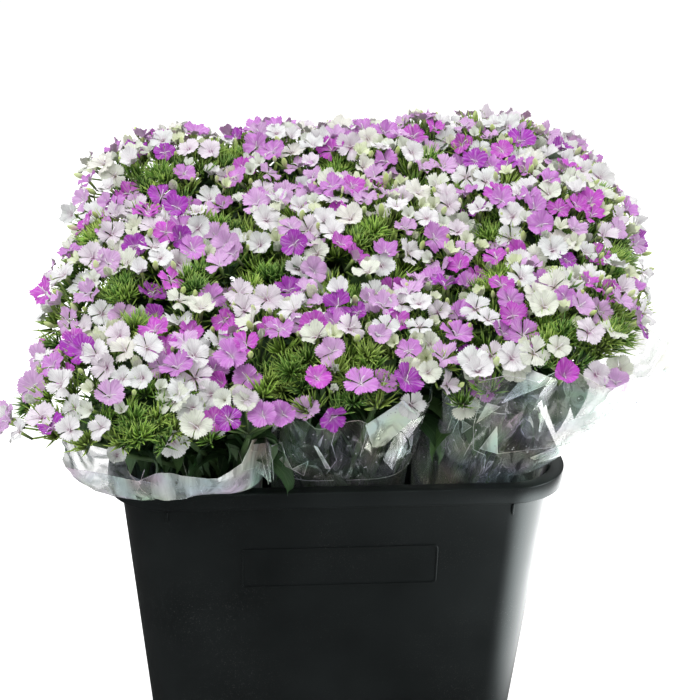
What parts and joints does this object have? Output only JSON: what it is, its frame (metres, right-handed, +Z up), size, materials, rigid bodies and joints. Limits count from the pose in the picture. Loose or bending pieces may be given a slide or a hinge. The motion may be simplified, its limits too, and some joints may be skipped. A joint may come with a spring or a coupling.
{
  "type": "bucket of cut dianthus bunches",
  "caption": "Black rectangular trade bucket holding clear-sleeved bunches of cut dianthus in white, pink, lilac and violet.",
  "frame": {"origin": "centre of the bucket's underside", "axes": "+X along the bucket's long side, +Y towards the back where the flowers stand highest, +Z up"},
  "size_m": [0.5868, 0.4734, 0.629],
  "materials": {
    "black_plastic": "satin",
    "water": "gloss",
    "clear_film": "gloss",
    "rubber_band": "matte",
    "dianthus": "matte",
    "petals": "matte",
    "cups": "matte",
    "greens": "matte",
    "leaves": "satin",
    "stems": "satin",
    "droplets": "gloss"
  },
  "bodies": {
    "root": {"bucket": "black_plastic", "water": "water", "bunch_front_left": "dianthus", "sleeve_front_left": "clear_film", "tie_front_left": "rubber_band", "bunch_front_middle": "dianthus", "sleeve_front_middle": "clear_film", "tie_front_middle": "rubber_band", "bunch_front_right": "dianthus", "sleeve_front_right": "clear_film", "tie_front_right": "rubber_band", "bunch_middle_left": "dianthus", "sleeve_middle_left": "clear_film", "tie_middle_left": "rubber_band", "bunch_middle": "dianthus", "sleeve_middle": "clear_film", "tie_middle": "rubber_band", "bunch_middle_right": "dianthus", "sleeve_middle_right": "clear_film", "tie_middle_right": "rubber_band", "bunch_back_left": "dianthus", "sleeve_back_left": "clear_film", "tie_back_left": "rubber_band", "bunch_back_middle": "dianthus", "sleeve_back_middle": "clear_film", "tie_back_middle": "rubber_band", "bunch_back_right": "dianthus", "sleeve_back_right": "clear_film", "tie_back_right": "rubber_band"}
  },
  "joints": []
}
